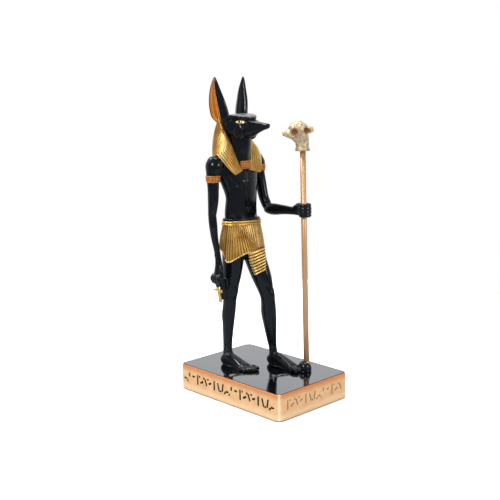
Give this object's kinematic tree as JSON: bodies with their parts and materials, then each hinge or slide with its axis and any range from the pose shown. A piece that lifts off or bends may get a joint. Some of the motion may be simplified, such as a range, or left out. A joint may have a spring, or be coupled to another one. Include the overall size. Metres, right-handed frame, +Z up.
{
  "type": "anubis statue",
  "caption": "Striding jackal-headed figure in a pleated kilt and headdress, holding an animal-headed staff and an ankh, on an inscribed block plinth.",
  "frame": {"origin": "centre of the plinth's underside", "axes": "+Z up; the figure faces -Y, and its left hand with the staff is on the +X side"},
  "size_m": [0.049, 0.071, 0.157],
  "materials": {
    "figure": "gloss",
    "plinth": "satin",
    "staff_rod": "satin",
    "staff_head": "satin"
  },
  "bodies": {
    "root": {"figure": "figure", "plinth": "plinth", "staff_rod": "staff_rod", "staff_head": "staff_head"}
  },
  "joints": []
}
